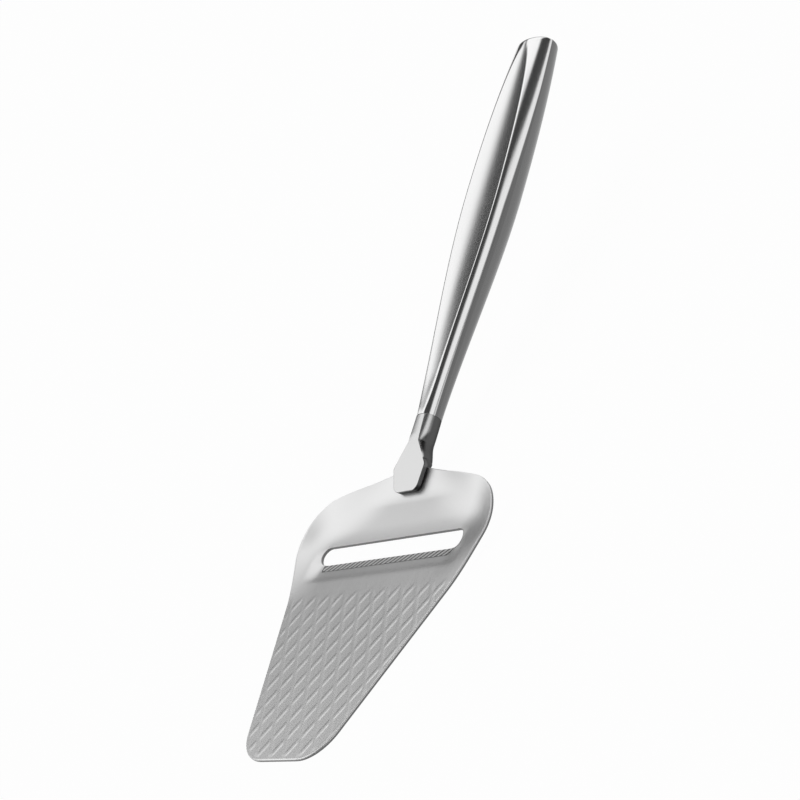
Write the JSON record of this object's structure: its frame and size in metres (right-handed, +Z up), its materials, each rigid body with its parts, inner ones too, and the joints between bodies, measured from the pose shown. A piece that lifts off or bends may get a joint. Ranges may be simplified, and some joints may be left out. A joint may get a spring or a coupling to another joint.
{
  "type": "cheese plane",
  "caption": "Steel cheese plane: an embossed trowel blade with a cutting slot and a raised shoulder, on a forged neck with a hollow faceted handle.",
  "frame": {"origin": "middle of the flat sole between the tip edge and the crease of the lip, on its underside", "axes": "+X across the blade, +Y from the tip to the handle, +Z up, away from the sole"},
  "size_m": [0.0854, 0.2425, 0.0443],
  "materials": {
    "blade_steel": "satin stainless sheet with a pressed diamond emboss",
    "neck_steel": "satin forged stainless steel",
    "handle_steel": "polished stainless steel with a satin facet",
    "bond_resin": "matt grey filled resin",
    "weld_steel": "bare weld metal"
  },
  "bodies": {
    "root": {"blade": "blade_steel", "neck": "neck_steel", "handle_top_shell": "handle_steel", "handle_bottom_shell": "handle_steel", "tang_bond": "bond_resin", "front_weld": "weld_steel", "rear_weld": "weld_steel"}
  },
  "joints": []
}
